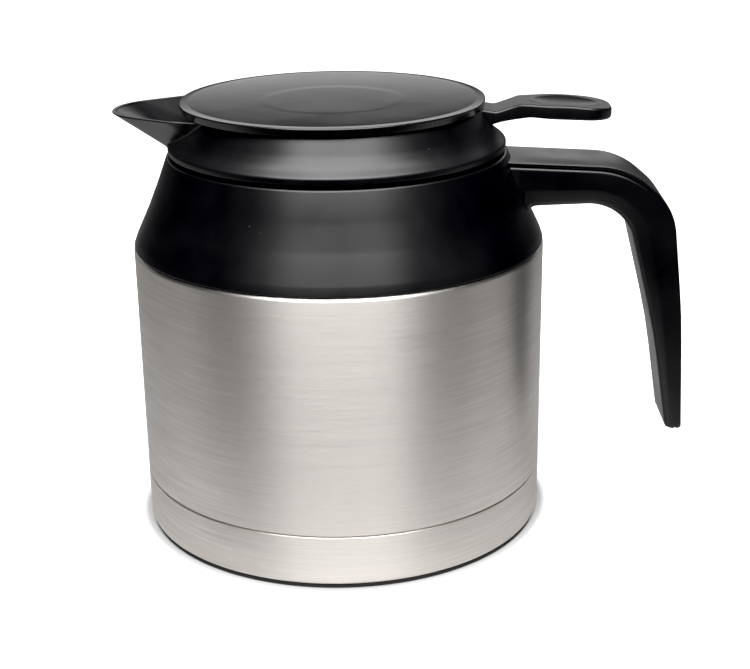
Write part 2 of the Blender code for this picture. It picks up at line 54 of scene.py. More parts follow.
SHELL_LOW, SHELL_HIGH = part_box("outer_shell")
CUP_LOW, CUP_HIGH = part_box("base_cup")
FOOT_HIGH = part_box("foot_pad")[1]
COLLAR_LOW, COLLAR_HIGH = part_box("collar")
RING_LOW, RING_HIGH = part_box("lid_ring")
DISC_LOW, DISC_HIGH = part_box("lid_disc")
LEVER_LOW, LEVER_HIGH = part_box("thumb_lever")
INSERT_LOW, INSERT_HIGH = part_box("lid_insert")
PIN_LOW, PIN_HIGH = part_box("hinge_pin")
COVER_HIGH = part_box("handle_cover")[1]
GRIP_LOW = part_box("handle_body")[0]

BODY_R = CUP_HIGH.x
HINGE = (PIN_LOW + PIN_HIGH) / 2
PIN_BORE_R = 1.3 * MM
SCREW_BORE_R = 1.6 * MM
ARM_HALF = 8.0 * MM  # half the width of the lever's arm


# ---------------------------------------------------------------- outlines and meshes


def rounded(corners, closed=False, arc=ARC, pieces_each=None):
    """Points of an outline whose corners are (u, v) or (u, v, radius), with an arc at each radius."""
    points = []
    count = len(corners)
    for i, corner in enumerate(corners):
        u, v = corner[:2]
        radius = corner[2] if len(corner) > 2 else 0.0
        if radius == 0.0 or (not closed and i in (0, count - 1)):
            points.append((u, v))
            continue
        before = corners[i - 1]
        after = corners[(i + 1) % count]
        into = math.atan2(v - before[1], u - before[0])
        out = math.atan2(after[1] - v, after[0] - u)
        turn = (out - into + math.pi) % math.tau - math.pi
        side = math.copysign(1.0, turn)
        reach = radius * math.tan(abs(turn) / 2)
        centre_u = u - reach * math.cos(into) - side * radius * math.sin(into)
        centre_v = v - reach * math.sin(into) + side * radius * math.cos(into)
        pieces = pieces_each or max(1, math.ceil(abs(turn) / arc))
        for k in range(pieces + 1):
            heading = into + turn * k / pieces
            points.append((
                centre_u + side * radius * math.sin(heading),
                centre_v - side * radius * math.cos(heading),
            ))
    return points


def in_mm(*corners):
    return [tuple(value * MM for value in corner) for corner in corners]


def shaded(mesh, sharp=SHARP):
    mesh.shade_smooth()
    mesh.set_sharp_from_angle(angle=sharp)


def add_object(name, mesh):
    obj = bpy.data.objects.new(name, mesh)
    bpy.context.scene.collection.objects.link(obj)
    return obj


def mesh_of(name, verts, faces):
    mesh = bpy.data.meshes.new(name)
    mesh.from_pydata([tuple(v) for v in verts], [], faces)
    made = bmesh.new()
    made.from_mesh(mesh)
    bmesh.ops.remove_doubles(made, verts=made.verts, dist=0.000002)
    bmesh.ops.recalc_face_normals(made, faces=made.faces)
    made.to_mesh(mesh)
    made.free()
    return mesh


def grid_faces(rows, columns, wrap_rows=False, wrap_columns=False):
    faces = []
    for i in range(rows if wrap_rows else rows - 1):
        for j in range(columns if wrap_columns else columns - 1):
            a = i * columns + j
            b = i * columns + (j + 1) % columns
            c = ((i + 1) % rows) * columns + (j + 1) % columns
            d = ((i + 1) % rows) * columns + j
            faces.append((a, b, c, d))
    return faces


def turned_mesh(name, points, closed, steps=STEPS):
    """The points (r, z) of a profile swept round the Z axis. An open profile starts and ends on the axis."""
    angles = [math.tau * k / steps for k in range(steps)]
    verts = [(r * math.cos(a), r * math.sin(a), z) for r, z in points for a in angles]
    return mesh_of(name, verts, grid_faces(len(points), steps, wrap_rows=closed, wrap_columns=True))


def turned(name, corners, closed=True, steps=STEPS, offset_x=0.0):
    """A solid turned from the corners (r, z) or (r, z, radius) of its profile."""
    mesh = turned_mesh(name, rounded(corners, closed), closed, steps)
    mesh.transform(Matrix.Translation((offset_x, 0, 0)))
    shaded(mesh)
    return add_object(name, mesh)


def sheet_profile(corners):
    """A closed profile of sheet metal: the given line, and the same line moved to its inner side."""
    line = rounded(corners)
    inner = []
    for i, (u, v) in enumerate(line):
        before = line[max(i - 1, 0)]
        after = line[min(i + 1, len(line) - 1)]
        du, dv = after[0] - before[0], after[1] - before[1]
        length = math.hypot(du, dv)
        inner.append((max(u + SHEET * dv / length, 0.0), v - SHEET * du / length))
    return line + inner[::-1]


def turned_sheet(name, corners):
    mesh = turned_mesh(name, sheet_profile(corners), closed=True)
    shaded(mesh)
    return add_object(name, mesh)


def cut(obj, cutters, operation="DIFFERENCE"):
    """Applies Booleans with throw-away cutter objects."""
    for cutter in cutters:
        step = obj.modifiers.new("cut", "BOOLEAN")
        step.operation = operation
        step.object = cutter
    graph = bpy.context.evaluated_depsgraph_get()
    mesh = bpy.data.meshes.new_from_object(obj.evaluated_get(graph))
    obj.modifiers.clear()
    obj.data = mesh
    shaded(mesh)
    for cutter in cutters:
        bpy.data.objects.remove(cutter, do_unlink=True)


def written(name, shape):
    """The mesh of a bmesh, which is freed."""
    mesh = bpy.data.meshes.new(name)
    shape.to_mesh(mesh)
    shape.free()
    return mesh


def rod(name, radius, length, axis, centre, steps=48):
    """A cylinder along Y or Z."""
    shape = bmesh.new()
    bmesh.ops.create_cone(shape, cap_ends=True, segments=steps, radius1=radius, radius2=radius, depth=length)
    turn = Matrix.Rotation(math.radians(90), 4, "X") if axis == "Y" else Matrix.Identity(4)
    shape.transform(Matrix.Translation(centre) @ turn)
    mesh = written(name, shape)
    shaded(mesh)
    return add_object(name, mesh)


def box(name, low, high):
    shape = bmesh.new()
    bmesh.ops.create_cube(shape, size=1.0)
    for vert in shape.verts:
        for k in range(3):
            vert.co[k] = low[k] if vert.co[k] < 0 else high[k]
    return add_object(name, written(name, shape))


def paint(obj, look):
    obj.data.materials.clear()
    obj.data.materials.append(look)


def finish_piece(obj, look, body, node):
    """Gives a piece its material, the body it rides on and the CAD node that it replaces."""
    paint(obj, look)
    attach(obj, body)
    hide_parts(node)


# ---------------------------------------------------------------- materials


class Nodes:
    """A material's node tree with its Principled BSDF, and short ways to add nodes to it."""

    def __init__(self, name, colour, roughness, metallic=0.0):
        self.material = bpy.data.materials.new(name)
        self.material.use_nodes = True
        self.tree = self.material.node_tree
        self.shader = self.tree.nodes["Principled BSDF"]
        self.shader.inputs["Base Color"].default_value = (*colour, 1.0)
        self.shader.inputs["Roughness"].default_value = roughness
        self.shader.inputs["Metallic"].default_value = metallic
        self.shader.inputs["IOR"].default_value = 1.5
        coordinates = self.tree.nodes.new("ShaderNodeTexCoord")
        self.place = coordinates.outputs["Object"]

    def link(self, source, node, socket):
        self.tree.links.new(source, node.inputs[socket])

    def stretched(self, scale):
        """Object coordinates times a scale for each axis."""
        node = self.tree.nodes.new("ShaderNodeMapping")
        node.inputs["Scale"].default_value = scale
        self.link(self.place, node, "Vector")
        return node.outputs["Vector"]

    def noise(self, scale, detail=3.0, roughness=0.5, vector=None):
        node = self.tree.nodes.new("ShaderNodeTexNoise")
        node.inputs["Scale"].default_value = scale
        node.inputs["Detail"].default_value = detail
        node.inputs["Roughness"].default_value = roughness
        self.link(vector or self.place, node, "Vector")
        return node.outputs["Fac"]

    def remap(self, source, low, high, to_low, to_high):
        node = self.tree.nodes.new("ShaderNodeMapRange")
        node.inputs["From Min"].default_value = low
        node.inputs["From Max"].default_value = high
        node.inputs["To Min"].default_value = to_low
        node.inputs["To Max"].default_value = to_high
        self.link(source, node, "Value")
        return node.outputs["Result"]

    def maths(self, operation, first, second):
        node = self.tree.nodes.new("ShaderNodeMath")
        node.operation = operation
        for k, value in enumerate((first, second)):
            if isinstance(value, (int, float)):
                node.inputs[k].default_value = value
            else:
                self.tree.links.new(value, node.inputs[k])
        return node.outputs["Value"]

    def colours(self, source, first, second):
        """A blend by a value from 0 to 1 of two colours, each a tuple or a socket."""
        node = self.tree.nodes.new("ShaderNodeMix")
        node.data_type = "RGBA"
        for socket, colour in (("A", first), ("B", second)):
            if isinstance(colour, tuple):
                node.inputs[socket].default_value = (*colour, 1.0)
            else:
                self.link(colour, node, socket)
        self.link(source, node, "Factor")
        return node.outputs["Result"]

    def shades(self, field, colour, darker, lighter):
        """The colour times two factors, blended by a noise field."""
        dark = tuple(darker * c for c in colour)
        light = tuple(min(1.0, lighter * c) for c in colour)
        return self.colours(self.remap(field, 0.35, 0.65, 0.0, 1.0), dark, light)

    def bump(self, height, distance, strength):
        node = self.tree.nodes.new("ShaderNodeBump")
        node.inputs["Distance"].default_value = distance
        node.inputs["Strength"].default_value = strength
        self.link(height, node, "Height")
        return node.outputs["Normal"]

    def put(self, socket, source):
        self.link(source, self.shader, socket)


def brushed_steel(name, colour, roughness):
    """Steel brushed round the body: long fine streaks, a few deeper scratches and a slight mottling."""
    n = Nodes(name, colour, roughness, metallic=1.0)
    n.shader.inputs["Anisotropic"].default_value = 0.84
    n.shader.inputs["Anisotropic Rotation"].default_value = 0.25
    tangent = n.tree.nodes.new("ShaderNodeTangent")
    tangent.direction_type = "RADIAL"
    tangent.axis = "Z"
    n.put("Tangent", tangent.outputs["Tangent"])
    fine = n.noise(1.0, 4.0, 0.65, n.stretched((60, 60, 5200)))
    broad = n.noise(1.0, 3.0, 0.6, n.stretched((22, 22, 900)))
    patches = n.noise(9.0, 2.0)
    scratches = n.noise(1.0, 2.0, 0.4, n.stretched((95, 95, 2600)))
    bright = n.remap(scratches, 0.66, 0.74, 0.0, 1.0)
    streaks = n.maths("ADD", n.maths("MULTIPLY", fine, 0.6), n.maths("MULTIPLY", broad, 0.4))
    tone = n.maths("ADD", n.maths("MULTIPLY", streaks, 0.8), n.maths("MULTIPLY", patches, 0.2))
    n.put("Base Color", n.shades(tone, colour, 0.86, 1.10))
    rough = n.remap(streaks, 0.35, 0.65, roughness + 0.05, roughness - 0.05)
    n.put("Roughness", n.maths("SUBTRACT", rough, n.maths("MULTIPLY", bright, 0.08)))
    n.put("Normal", n.bump(n.maths("ADD", streaks, n.maths("MULTIPLY", bright, 0.5)), 0.00001, 0.6))
    return n.material


def plain_steel(name, colour, roughness):
    """Drawn steel with faint marks."""
    n = Nodes(name, colour, roughness, metallic=1.0)
    marks = n.noise(240.0, 4.0, 0.6)
    n.put("Base Color", n.shades(marks, colour, 0.9, 1.06))
    n.put("Roughness", n.remap(marks, 0.3, 0.7, roughness - 0.04, roughness + 0.08))
    n.put("Normal", n.bump(marks, 0.00002, 0.3))
    return n.material


def moulded(name, colour, roughness, grain=0.00001, grain_scale=3800.0, spread=0.05):
    """Moulded plastic: a fine grain, slow changes of gloss and a few specks of dust."""
    n = Nodes(name, colour, roughness)
    texture = n.noise(grain_scale, 3.0, 0.6)
    slow = n.noise(45.0, 3.0, 0.55)
    speck_field = n.tree.nodes.new("ShaderNodeTexVoronoi")
    speck_field.inputs["Scale"].default_value = 130.0
    n.link(n.place, speck_field, "Vector")
    specks = n.remap(speck_field.outputs["Distance"], 0.022, 0.012, 0.0, 1.0)
    dusty = tuple(c + 0.16 for c in colour)
    n.put("Base Color", n.colours(specks, n.shades(slow, colour, 1.0, 1.35), dusty))
    glossy = n.remap(slow, 0.3, 0.7, roughness - spread, roughness + spread)
    n.put("Roughness", n.maths("ADD", glossy, n.remap(texture, 0.3, 0.7, -0.03, 0.03)))
    n.put("Normal", n.bump(texture, grain, 0.5))
    return n.material


def rubber(name, colour, roughness):
    """A soft material with a fine, dull texture."""
    n = Nodes(name, colour, roughness)
    texture = n.noise(1600.0, 4.0, 0.6)
    n.put("Base Color", n.shades(texture, colour, 0.8, 1.2))
    n.put("Roughness", n.remap(texture, 0.3, 0.7, roughness - 0.06, roughness + 0.06))
    n.put("Normal", n.bump(texture, 0.00003, 0.4))
    return n.material


BRUSHED = brushed_steel("brushed_steel", (0.80, 0.76, 0.722), 0.47)
PLAIN = plain_steel("plain_steel", (0.55, 0.54, 0.52), 0.22)
FASTENER = plain_steel("fastener_steel", (0.5, 0.5, 0.49), 0.3)
SOLDER = plain_steel("sealing_solder", (0.48, 0.44, 0.36), 0.45)
COLLAR_BLACK = moulded("collar_plastic", (0.0008, 0.0008, 0.0012), 0.33)
HANDLE_BLACK = moulded("handle_plastic", (0.0012, 0.0012, 0.0016), 0.32)
LID_BLACK = moulded("lid_plastic", (0.0012, 0.0012, 0.0016), 0.36)
DISC_BLACK = moulded(
    "disc_plastic", (0.005, 0.0045, 0.004), 0.19, grain=0.000004, grain_scale=2600.0, spread=0.02
)
INNER_BLACK = moulded("inner_plastic", (0.012, 0.012, 0.012), 0.45)
SILICONE = rubber("silicone", (0.33, 0.33, 0.32), 0.55)
RUBBER = rubber("foot_rubber", (0.012, 0.012, 0.012), 0.75)


# ---------------------------------------------------------------- steel body


STEEL_EDGE = 0.35 * MM  # radius of the cut edges at the seam
STEEL_CORNER = 1.3 * MM
NECK_R = 47.6 * MM
WALL_GAP = 0.3 * MM


def build_base():
    foot = turned("foot_disc", [
        (0, FOOT_HIGH.z), (FOOT_HIGH.x, FOOT_HIGH.z, 0.3 * MM), (FOOT_HIGH.x, 0, 0.4 * MM), (0, 0),
    ], closed=False)
    finish_piece(foot, RUBBER, "vessel", "foot_pad")

    cup = turned_sheet("base_cup_steel", [
        (BODY_R - SHEET, CUP_HIGH.z), (BODY_R, CUP_HIGH.z, STEEL_EDGE), (BODY_R, CUP_LOW.z, STEEL_CORNER),
        (0, CUP_LOW.z),
    ])
    finish_piece(cup, BRUSHED, "vessel", "base_cup")


def build_shell():
    roll_z = 105.6 * MM
    cone_r, cone_z = 70.8 * MM, 107.4 * MM
    low_r = BODY_R - SHEET - WALL_GAP
    seam_z = CUP_HIGH.z + 0.42 * MM
    shell = turned_sheet("outer_shell_steel", [
        (NECK_R, SHELL_HIGH.z), (NECK_R, 121 * MM, 3 * MM), (cone_r, cone_z), (cone_r, roll_z),
        (BODY_R, roll_z, STEEL_CORNER), (BODY_R, seam_z, STEEL_EDGE), (low_r, seam_z), (low_r, SHELL_LOW.z),
    ])
    finish_piece(shell, BRUSHED, "vessel", "outer_shell")


def build_flask():
    flask_low, flask_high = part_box("inner_flask")
    flask_r, neck_out = flask_high.x, NECK_R - SHEET - WALL_GAP
    flask = turned_sheet("inner_flask_steel", [
        (48.4 * MM, flask_high.z), (neck_out, flask_high.z, 0.4 * MM), (neck_out, 117.4 * MM, 3 * MM),
        (flask_r, 103.6 * MM, 7 * MM), (flask_r, flask_low.z, 10 * MM), (0, flask_low.z),
    ])
    finish_piece(flask, PLAIN, "vessel", "inner_flask")


def paint_hidden_nodes():
    for node, look in (
        ("bottom_plate", PLAIN), ("getter_disc", PLAIN), ("vacuum_port_seal", SOLDER),
        ("neck_gasket", SILICONE), ("handle_screw_upper", FASTENER), ("handle_screw_lower", FASTENER),
    ):
        paint(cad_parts[node], look)


# ---------------------------------------------------------------- collar and handle


def collar_outside(out=0.0):
    """Corners of the collar's outer side from the top down, moved outwards by out."""
    return [
        (61.4 * MM + out, COLLAR_HIGH.z + out, 0.9 * MM),
        (65.3 * MM + out, 128.0 * MM, 60 * MM),
        (69.0 * MM + out, 119.2 * MM, 30 * MM),
        (73.7 * MM + out, 109.3 * MM, 5 * MM),
        (COLLAR_HIGH.x + out, COLLAR_LOW.z, 0.3 * MM),
    ]


def build_collar():
    mouth_r, floor = 54.8 * MM, 124.0 * MM
    collar = turned("collar_moulding", [
        (mouth_r, COLLAR_HIGH.z, 0.5 * MM), *collar_outside(),
        *in_mm((72.7, 106.1), (71.6, 109.0, 4), (66.9, 118.7, 28), (63.2, 127.5, 58), (59.5, 136.1, 0.8),
               (56.8, 136.1, 0.8), (56.8, 122.2), (50.2, 122.2), (50.2, 124.0)),
        (mouth_r, floor),
    ])
    finish_piece(collar, COLLAR_BLACK, "vessel", "collar")


def build_retaining_ring():
    ring_low, ring_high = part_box("retaining_ring")
    bore_r = 48.7 * MM
    ring = turned("retaining_nut", [
        (bore_r, ring_high.z, 0.4 * MM), (ring_high.x, ring_high.z, 0.8 * MM),
        (ring_high.x, ring_low.z), (bore_r, ring_low.z),
    ])
    notches = [
        box(f"nut_notch_{k}", (ring_high.x - 2.2 * MM, -2 * MM, ring_high.z - 1.4 * MM),
            (ring_high.x + MM, 2 * MM, ring_high.z + MM))
        for k in range(6)
    ]
    for k, notch in enumerate(notches):
        notch.data.transform(Matrix.Rotation(math.tau * k / 6, 4, "Z"))
    cut(ring, notches)
    finish_piece(ring, INNER_BLACK, "vessel", "retaining_ring")


def crossing(point, direction, line):
    """Distance along a direction from a point to where it crosses a polyline, the nearest one."""
    best = None
    px, pz = point
    dx, dz = direction
    for (ax, az), (bx, bz) in zip(line, line[1:]):
        ex, ez = bx - ax, bz - az
        det = dx * ez - dz * ex
        if abs(det) < 1e-15:
            continue
        t = ((ax - px) * ez - (az - pz) * ex) / det
        s = ((ax - px) * dz - (az - pz) * dx) / det
        if -0.001 <= s <= 1.001 and t > -1e-4 and (best is None or t < best):
            best = t
    return best


def resampled(line, spacing):
    points = [np.array(line[0])]
    for a, b in zip(line, line[1:]):
        a, b = np.array(a), np.array(b)
        pieces = max(1, round(np.linalg.norm(b - a) / spacing))
        points += [a + (b - a) * k / pieces for k in range(1, pieces + 1)]
    return points


def smoothed_line(line, rounds=8):
    line = np.array(line)
    for _ in range(rounds):
        line[1:-1] = (line[:-2] + 2 * line[1:-1] + line[2:]) / 4
    return line


def loft(name, sections):
    """A closed skin over sections that are loops of equally many points, with a fan at each end."""
    count = len(sections[0])
    verts = [v for section in sections for v in section]
    faces = grid_faces(len(sections), count, wrap_columns=True)
    faces.append(tuple(range(count))[::-1])
    faces.append(tuple((len(sections) - 1) * count + j for j in range(count)))
    return mesh_of(name, verts, faces)


def cap_section(half, low, high, edge, low_edge, dish, inset):
    """Section of the handle's cap across its width: flat below, round upper edges, a shallow hollow on top."""
    side, top = half - inset, high - inset
    low = min(low + inset, top - 0.3 * MM)
    edge = min(edge, 0.45 * (top - low))
    right = rounded([(0, low), (side, low, low_edge), (side, top, edge), (0, top)], pieces_each=5)[1:-1]
    rim = side - edge - 0.4 * MM
    count = 24
    across = [rim * (1 - 2 * k / count) for k in range(count + 1)]
    middle = [(y, top - dish * (1 - (y / rim) ** 2) ** 1.3) for y in across]
    return right + middle + [(-y, h) for y, h in right[::-1]]


def grip_section(half, half_low, gap, depth, inset, shoulder):
    """Section of the handle's main moulding: round upper edges, sides that lean in, a rounded inner face."""
    side, low_side = half - inset, half_low - inset
    top, deep = gap + inset, depth - inset
    tall = max(deep - top, 0.15 * MM)
    middle_y = 0.35 * low_side + 0.65 * side + 0.03 * tall
    upper_r, lower_r = min(shoulder, 0.3 * tall), min(2.4 * MM, 0.3 * tall)
    right = rounded([
        (0, -top - tall), (low_side, -top - tall, lower_r),
        (middle_y, -top - 0.55 * tall, 0.5 * tall), (side, -top, upper_r), (0, -top),
    ], pieces_each=6)[1:-1]
    return [(0, -top - tall)] + right + [(0, -top)] + [(-y, h) for y, h in right[::-1]]


def handle_stations():
    """Stations along the seam between the handle's two mouldings: place, outward normal, distances to the
    outer and the inner face, and how far the section draws in to round the free end."""
    low = GRIP_LOW.z + 0.4 * MM
    seam = rounded(in_mm(
        (55, 134.7), (102.73, 132.2, 25.5), (119.14, 117.8, 22.2), (123.5, 78, 250), (125.8, 25)
    ), arc=math.radians(3))
    outer = rounded([
        *in_mm((40, 136.98), (103.3, 133.6, 27), (120.8, 118.7, 24), (125.5, 78, 300)),
        (COVER_HIGH.x - 0.02 * MM, low), (COVER_HIGH.x + MM, low - 20 * MM),
    ], arc=math.radians(3))
    inner = rounded(in_mm(
        (20, 117.3), (103.4, 120.1, 17), (116.0, 70, 250), (121.9, 32.2), (123.3, 20)
    ), arc=math.radians(3))
    near_root = resampled(seam[:2], 0.25 * MM)
    near_root = [point for point in near_root if point[0] < 76 * MM]
    line = near_root + [point for point in smoothed_line(resampled(seam, 1.2 * MM)) if point[0] > 77 * MM]
    line = np.array(line)
    line = line[line[:, 1] > low + 3.4 * MM]
    end_r = 1.6 * MM
    last, way = line[-1], (line[-1] - line[-2]) / np.linalg.norm(line[-1] - line[-2])
    to_end = (last[1] - low) / -way[1]
    places = [(point, 0.0) for point in line]
    places += [(last + way * (to_end - end_r) * k / 2, 0.0) for k in (1, 2)]
    for k in range(1, 7):
        a = math.radians(90) * k / 6
        places.append((last + way * (to_end - end_r * (1 - math.sin(a))), end_r * (1 - math.cos(a))))
    stations = []
    for i, (point, inset) in enumerate(places):
        ahead = places[min(i + 1, len(places) - 1)][0] - places[max(i - 1, 0)][0]
        ahead = ahead / np.linalg.norm(ahead)
        normal = np.array((-ahead[1], ahead[0]))
        out, into = crossing(point, normal, outer), crossing(point, -normal, inner)
        stations.append((point, normal, out, into, inset))
    return stations


def root_flare(away, radius):
    """How far a fillet of this radius stands out at a distance from the wall that it meets."""
    near = min(max(radius - away, 0.0), radius)
    return radius - math.sqrt(radius ** 2 - near ** 2)


def build_handle():
    """The cap and the grip. Near the cone the grip flares out, and past the bend its seam closes."""
    half, half_low, gap = 13.5 * MM, 11.75 * MM, 0.08 * MM
    clearance = 0.12 * MM
    cone_r = line_radius(rounded(collar_outside()))
    caps, grips = [], []
    for point, normal, out, into, inset in handle_stations():
        reach = (point[0] - 86 * MM) / (21 * MM)
        dish = 0.75 * MM * math.exp(-reach ** 4) if point[1] > 0.11 else 0.0
        bend = min(1.0, max(0.0, (131.5 * MM - point[1]) / (8 * MM)))
        caps.append([
            (point[0] + normal[0] * h, y, point[1] + normal[1] * h)
            for y, h in cap_section(half, gap, out, 0.45 * MM, 0.15 * MM - 0.12 * MM * bend, dish, inset)
        ])
        grip = []
        shoulder = 1.5 * MM - 1.45 * MM * bend
        for y, h in grip_section(half, half_low, gap * (1 - 2 * bend), into, inset, shoulder):
            x, z = point[0] + normal[0] * h, point[1] + normal[1] * h
            away = math.hypot(x, y) - cone_r(z)
            beside = root_flare(away, 0.8 * MM) * min(1.0, max(0.0, (-h - 1.5 * MM) / (2 * MM)))
            below = root_flare(away, 3.6 * MM) * min(1.0, max(0.0, 1 - (h + into) / (3 * MM)))
            grip.append((x, y * (1 + beside / half), z - below))
        grips.append(grip)
    for name, sections, node in (("handle_cap", caps, "handle_cover"), ("handle_grip", grips, "handle_body")):
        moulding = add_object(name, loft(name, sections))
        clear = turned(f"{name}_clearance", [
            (0, COLLAR_HIGH.z + clearance), *collar_outside(clearance), (0, COLLAR_LOW.z),
        ], closed=False)
        cut(moulding, [clear])
        finish_piece(moulding, HANDLE_BLACK, "vessel", node)


# ---------------------------------------------------------------- lid


SPOUT_TIP = RING_LOW.x
SPOUT_BACK = -44 * MM
RIM_Z = RING_HIGH.z
RIM_EDGE = 0.5 * MM  # radius of the ring's edges


def spout_rim(inset):
    """Corners of the spout's rim seen from above, moved inwards by inset."""
    x, y = -57.5 * MM, 25.0 * MM
    back_y = 27.6 * MM
    tip_r, shoulder_r = 18.8 * MM, 14 * MM
    apex = SPOUT_TIP
    for _ in range(12):
        half_angle = math.atan2(y, x - apex)
        apex = SPOUT_TIP - tip_r * (1 / math.sin(half_angle) - 1)
    apex += inset / math.sin(half_angle)
    return [
        (SPOUT_BACK, -back_y + inset),
        (x + 0.4 * inset, -y + inset, shoulder_r - inset),
        (apex, 0, tip_r - inset),
        (x + 0.4 * inset, y - inset, shoulder_r - inset),
        (SPOUT_BACK, back_y - inset),
    ]


class SpoutShape:
    """Radius of the spout at any bearing and height: its section blends from the keel to the rim."""

    def __init__(self, inset, keel_x, keel_z, keel_half):
        self.keel_z = keel_z
        self.headings = np.radians(np.linspace(91, 269, 357))
        ways = np.stack([np.cos(self.headings), np.sin(self.headings)])
        rim = np.array(rounded(spout_rim(inset), arc=math.radians(4)))
        keel = np.array([
            (keel_x, -keel_half), (keel_x, keel_half), (SPOUT_BACK, 13 * MM), (SPOUT_BACK, -13 * MM),
        ])
        self.at_rim = (rim @ ways).max(axis=0)
        self.at_keel = (keel @ ways).max(axis=0)

    def radius(self, bearing, z):
        f = (z - self.keel_z) / (RIM_Z - RIM_EDGE - self.keel_z)
        reach = (1 - f) * self.at_keel + f * self.at_rim
        along = np.cos(bearing - self.headings)
        open_ways = along > 0.05
        return float((reach[open_ways] / along[open_ways]).min()) if open_ways.any() else 0.0


def soft_max(a, b, blend):
    return (a + b + math.sqrt((a - b) ** 2 + blend ** 2) - blend * 0.02) / 2


def line_radius(points):
    """Radius at any height of a turned profile whose height always rises."""
    points = sorted(points, key=lambda p: p[1])
    heights = [z for _, z in points]
    radii = [r for r, _ in points]
    return lambda z: float(np.interp(z, heights, radii))


RING_FLOOR = 142.0 * MM


def ring_lines():
    """Radius at any height of the ring's outer side and of its hollow, away from the spout."""
    ring_r = 60.9 * MM
    outer = rounded(
        [(51.7 * MM, RIM_Z + MM), (55.3 * MM, 147.7 * MM, 12 * MM), (57.3 * MM, 144.7 * MM, 12 * MM),
         (ring_r, 141.9 * MM, 0.8 * MM), (ring_r, RING_LOW.z - MM)], arc=math.radians(2))
    inner = rounded(
        in_mm((48.6, 157.8), (53.7, 147.4, 7), (57.4, 142.0, 1.5), (50, 142.0)), arc=math.radians(6))[:-2]
    return line_radius(outer), line_radius(inner)


def ring_section(r_out, r_in):
    """The ring's section (r, z) at one bearing, round from the foot of its outer side."""
    low, edge = RING_LOW.z, RIM_EDGE
    floor, floor_low, floor_r, skirt_r = RING_FLOOR, 140.5 * MM, 47.0 * MM, 59.3 * MM
    heights_out = [low + edge + (RIM_Z - 2 * edge - low) * k / 34 for k in range(35)]
    heights_in = [RIM_Z - edge - (RIM_Z - edge - floor - 0.3 * MM) * k / 24 for k in range(25)]
    quarter = [math.radians(90) * k / 5 for k in range(1, 6)]
    starts = [0.0] + quarter[:-1]
    r_low, r_top, in_top = r_out(low + edge), r_out(RIM_Z - edge), r_in(RIM_Z - edge)
    lip = min(edge, 0.48 * (r_top - in_top))
    loop = [(r_low - edge * (1 - math.sin(a)), low + edge - edge * math.cos(a)) for a in starts]
    loop += [(r_out(z), z) for z in heights_out]
    loop += [(r_top - lip * (1 - math.cos(a)), RIM_Z - edge + lip * math.sin(a)) for a in quarter]
    loop += [(in_top + lip * (1 - math.sin(a)), RIM_Z - edge + lip * math.cos(a)) for a in starts]
    loop += [(r_in(z), z) for z in heights_in]
    loop += [
        (r_in(floor + 0.3 * MM) - 0.8 * MM, floor), (floor_r + edge, floor), (floor_r, floor - edge),
        (floor_r, floor_low), (skirt_r, floor_low), (skirt_r, low),
    ]
    return loop


def notch_ring(ring):
    """Adds the two hinge ears and cuts the lever's notch and the pin's bore."""
    for side in (1, -1):
        ends = sorted((side * (ARM_HALF + 1.2 * MM), side * 12.6 * MM))
        ear = box("ear", (47.4 * MM, ends[0], 146.4 * MM), (53.8 * MM, ends[1], RIM_Z - 0.7 * MM))
        for vert in ear.data.vertices:
            if vert.co.x > 50 * MM and vert.co.z > 150 * MM:
                vert.co.x = 50.8 * MM
        cut(ring, [ear], "UNION")
    slot_half = ARM_HALF + 1.0 * MM
    slot = box("slot", (45 * MM, -slot_half, 146.6 * MM), (62 * MM, slot_half, RIM_Z + 4 * MM))
    cut(ring, [slot, rod("bore", PIN_BORE_R, 23.2 * MM, "Y", HINGE)])


def build_ring():
    """The ring and the spout that is drawn out of it, with finer steps round the spout."""
    outer_line, inner_line = ring_lines()
    outside = SpoutShape(0.0, -60.6 * MM, 140.2 * MM, 4 * MM)
    inside = SpoutShape(1.5 * MM, -57.4 * MM, 142.6 * MM, 3 * MM)
    spread = math.radians(32)
    bearings = [
        *np.linspace(-math.pi + spread, math.pi - spread, 240, endpoint=False),
        *np.linspace(math.pi - spread, math.pi + spread, 220, endpoint=False),
    ]
    loops = []
    for bearing in bearings:
        turned_to = bearing % math.tau

        def radius(line, spout):
            if abs(turned_to - math.pi) >= math.radians(60):
                return line
            return lambda z: soft_max(line(z), spout.radius(turned_to, z), 0.8 * MM)

        loop = ring_section(radius(outer_line, outside), radius(inner_line, inside))
        loops.append([(r * math.cos(bearing), r * math.sin(bearing), z) for r, z in loop])
    verts = [v for loop in loops for v in loop]
    faces = grid_faces(len(loops), len(loops[0]), wrap_rows=True, wrap_columns=True)
    ring = add_object("lid_ring_spout", mesh_of("lid_ring_spout", verts, faces))
    notch_ring(ring)
    finish_piece(ring, LID_BLACK, "lid", "lid_ring")


def build_insert():
    low, high = INSERT_LOW.z, INSERT_HIGH.z
    under = 138.4 * MM
    hole_r, flange_r = 20 * MM, 53.8 * MM
    skirt_r = 44.6 * MM
    skirt_in = skirt_r - 1.8 * MM
    insert = turned("insert_moulding", [
        (hole_r, high, 0.5 * MM), (flange_r, high, 0.3 * MM), (flange_r, under), (skirt_r, under),
        (skirt_r, low, 0.6 * MM), (skirt_in, low), (skirt_in, under), (hole_r, under),
    ])
    finish_piece(insert, INNER_BLACK, "lid", "lid_insert")


